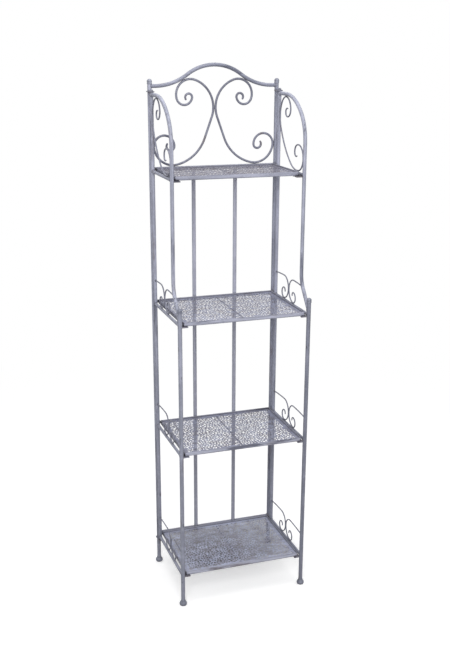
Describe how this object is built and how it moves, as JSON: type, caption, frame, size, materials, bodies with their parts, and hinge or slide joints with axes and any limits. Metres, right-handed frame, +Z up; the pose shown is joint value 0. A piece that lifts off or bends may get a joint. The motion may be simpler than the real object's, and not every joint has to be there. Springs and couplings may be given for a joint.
{
  "type": "folding shelf unit",
  "caption": "Tall, narrow folding metal etagere with perforated shelves between scrollwork side frames and a back frame with an arched top.",
  "frame": {"origin": "on the floor, under the middle of the unit's outline, midway between the back posts and the lower front legs", "axes": "+Z up, -Y towards the front, where the shelves are loaded from, +X to the right as seen from the front"},
  "size_m": [0.4174, 0.3106, 1.6006],
  "materials": {
    "frame_paint": "satin, brushed on, rubbed at the edges",
    "shelf_paint": "satin, rubbed through in specks",
    "cap_paint": "satin, darker in the hollows",
    "peg_paint": "satin, dark"
  },
  "bodies": {
    "back_frame": {"back_post_left": "frame_paint", "back_post_right": "frame_paint", "back_finial_left": "cap_paint", "back_finial_right": "cap_paint", "back_foot_left": "cap_paint", "back_foot_right": "cap_paint", "top_arch": "frame_paint", "top_rail": "frame_paint", "bottom_rail": "frame_paint", "inner_bar_left": "frame_paint", "inner_bar_right": "frame_paint", "back_scroll_left": "frame_paint", "back_scroll_right": "frame_paint", "hinge_tabs": "frame_paint", "hinge_pins": "peg_paint", "shelf_lugs": "frame_paint"},
    "side_frame_left": {"rear_upright_left": "frame_paint", "side_hoop_left": "frame_paint", "lower_leg_left": "frame_paint", "leg_cap_left": "cap_paint", "leg_foot_left": "cap_paint", "tall_scroll_left": "frame_paint", "shelf_forks_left": "frame_paint", "side_rail_1_left": "frame_paint", "side_rail_2_left": "frame_paint", "side_rail_3_left": "frame_paint", "side_rail_4_left": "frame_paint", "scroll_pair_1_left": "frame_paint", "scroll_pair_2_left": "frame_paint", "scroll_pair_3_left": "frame_paint"},
    "side_frame_right": {"rear_upright_right": "frame_paint", "side_hoop_right": "frame_paint", "lower_leg_right": "frame_paint", "leg_cap_right": "cap_paint", "leg_foot_right": "cap_paint", "tall_scroll_right": "frame_paint", "shelf_forks_right": "frame_paint", "side_rail_1_right": "frame_paint", "side_rail_2_right": "frame_paint", "side_rail_3_right": "frame_paint", "side_rail_4_right": "frame_paint", "scroll_pair_1_right": "frame_paint", "scroll_pair_2_right": "frame_paint", "scroll_pair_3_right": "frame_paint"},
    "shelf_1": {"shelf_1_frame": "shelf_paint", "shelf_1_sheet": "shelf_paint", "shelf_1_brace": "shelf_paint", "shelf_1_pegs": "peg_paint"},
    "shelf_2": {"shelf_2_frame": "shelf_paint", "shelf_2_sheet": "shelf_paint", "shelf_2_brace": "shelf_paint", "shelf_2_pegs": "peg_paint"},
    "shelf_3": {"shelf_3_frame": "shelf_paint", "shelf_3_sheet": "shelf_paint", "shelf_3_brace": "shelf_paint", "shelf_3_pegs": "peg_paint"},
    "shelf_4": {"shelf_4_frame": "shelf_paint", "shelf_4_sheet": "shelf_paint", "shelf_4_brace": "shelf_paint", "shelf_4_pegs": "peg_paint"}
  },
  "joints": [
    {"name": "shelf_1_lift", "type": "hinge", "parent": "back_frame", "child": "shelf_1", "pos_m": [0, 0.13165, 0.1075], "axis": [-1, 0, 0], "range_deg": [0, 90]},
    {"name": "shelf_2_lift", "type": "hinge", "parent": "back_frame", "child": "shelf_2", "pos_m": [0, 0.13165, 0.506], "axis": [-1, 0, 0], "range_deg": [0, 90]},
    {"name": "shelf_3_lift", "type": "hinge", "parent": "back_frame", "child": "shelf_3", "pos_m": [0, 0.13165, 0.9045], "axis": [-1, 0, 0], "range_deg": [0, 90]},
    {"name": "shelf_4_lift", "type": "hinge", "parent": "back_frame", "child": "shelf_4", "pos_m": [0, 0.13165, 1.303], "axis": [-1, 0, 0], "range_deg": [0, 90]},
    {"name": "side_frame_left_swing", "type": "hinge", "parent": "back_frame", "child": "side_frame_left", "pos_m": [-0.197, 0.12015, 0.8], "axis": [0, 0, -1], "range_deg": [0, 90]},
    {"name": "side_frame_right_swing", "type": "hinge", "parent": "back_frame", "child": "side_frame_right", "pos_m": [0.197, 0.12015, 0.8], "axis": [0, 0, 1], "range_deg": [0, 90]}
  ]
}
